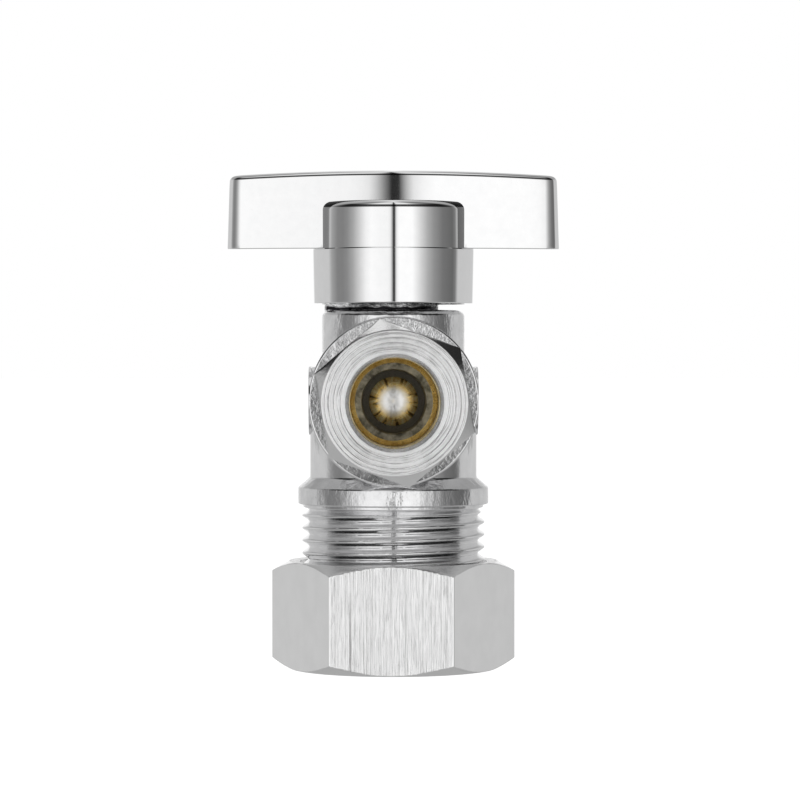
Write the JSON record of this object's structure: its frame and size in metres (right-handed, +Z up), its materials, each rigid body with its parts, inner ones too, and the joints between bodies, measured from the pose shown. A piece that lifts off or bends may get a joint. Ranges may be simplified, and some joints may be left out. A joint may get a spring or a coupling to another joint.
{
  "type": "angle stop valve",
  "caption": "Right-angle shut-off valve with a quarter-turn oval handle, a large compression nut below for the pipe and a small one in front for the supply tube.",
  "frame": {"origin": "on the inlet's axis, in the plane of the inlet nut's lower face", "axes": "+Z up along the inlet's and the stem's axis, -Y along the outlet, X along the handle when the valve is shut"},
  "size_m": [0.0374, 0.0341, 0.056],
  "materials": {
    "chrome_plated_brass": "chrome plating over machined and cast brass",
    "chrome_plated_zinc": "polished chrome plating over die-cast zinc",
    "chrome_plated_nut": "chrome plating over turned brass, fine tool marks",
    "chrome_plated_ball": "polished chrome plating",
    "bare_brass": "machined brass",
    "steel": "plain stainless",
    "ptfe": "filled fluoropolymer",
    "rubber": "moulded"
  },
  "bodies": {
    "valve": {"valve_body": "chrome_plated_brass", "outlet_seat": "ptfe", "outlet_seat_o_ring": "rubber", "rear_seat": "ptfe", "rear_seat_o_ring": "rubber", "lower_ball_seat": "ptfe", "lower_seat_o_ring": "rubber", "seat_retainer": "bare_brass", "retainer_o_ring": "rubber", "thrust_washer": "ptfe"},
    "handle_and_stem": {"handle": "chrome_plated_zinc", "handle_screw": "steel", "lock_washer": "steel", "stem": "bare_brass", "stem_o_ring_lower": "rubber", "stem_o_ring_upper": "rubber", "ball": "chrome_plated_ball"},
    "inlet_sleeve_on_pipe": {"inlet_sleeve": "bare_brass"},
    "inlet_nut_turning": {"inlet_nut": "chrome_plated_nut"},
    "outlet_sleeve_on_tube": {"outlet_sleeve": "bare_brass"},
    "outlet_nut_turning": {"outlet_nut": "chrome_plated_nut"}
  },
  "joints": [
    {"name": "handle_turn", "type": "hinge", "parent": "valve", "child": "handle_and_stem", "pos_m": [0, 0, 0.0302], "axis": [0, 0, 1], "range_deg": [0, 90]},
    {"name": "inlet_travel", "type": "slide", "parent": "valve", "child": "inlet_sleeve_on_pipe", "axis": [0, 0, -1], "range_m": [0, 0.00494]},
    {"name": "inlet_nut_turn", "type": "hinge", "parent": "inlet_sleeve_on_pipe", "child": "inlet_nut_turning", "pos_m": [0, 0, 0.00608], "axis": [0, 0, -1], "range_deg": [0, 1260]},
    {"name": "outlet_travel", "type": "slide", "parent": "valve", "child": "outlet_sleeve_on_tube", "axis": [0, -1, 0], "range_m": [0, 0.00635]},
    {"name": "outlet_nut_turn", "type": "hinge", "parent": "outlet_sleeve_on_tube", "child": "outlet_nut_turning", "pos_m": [0, -0.01645, 0.0302], "axis": [0, -1, 0], "range_deg": [0, 2160]}
  ],
  "couplings": [
    {"joint": "inlet_travel", "follows": "inlet_nut_turn", "m_per_rad": 0.00022457},
    {"joint": "outlet_travel", "follows": "outlet_nut_turn", "m_per_rad": 0.00016839}
  ]
}
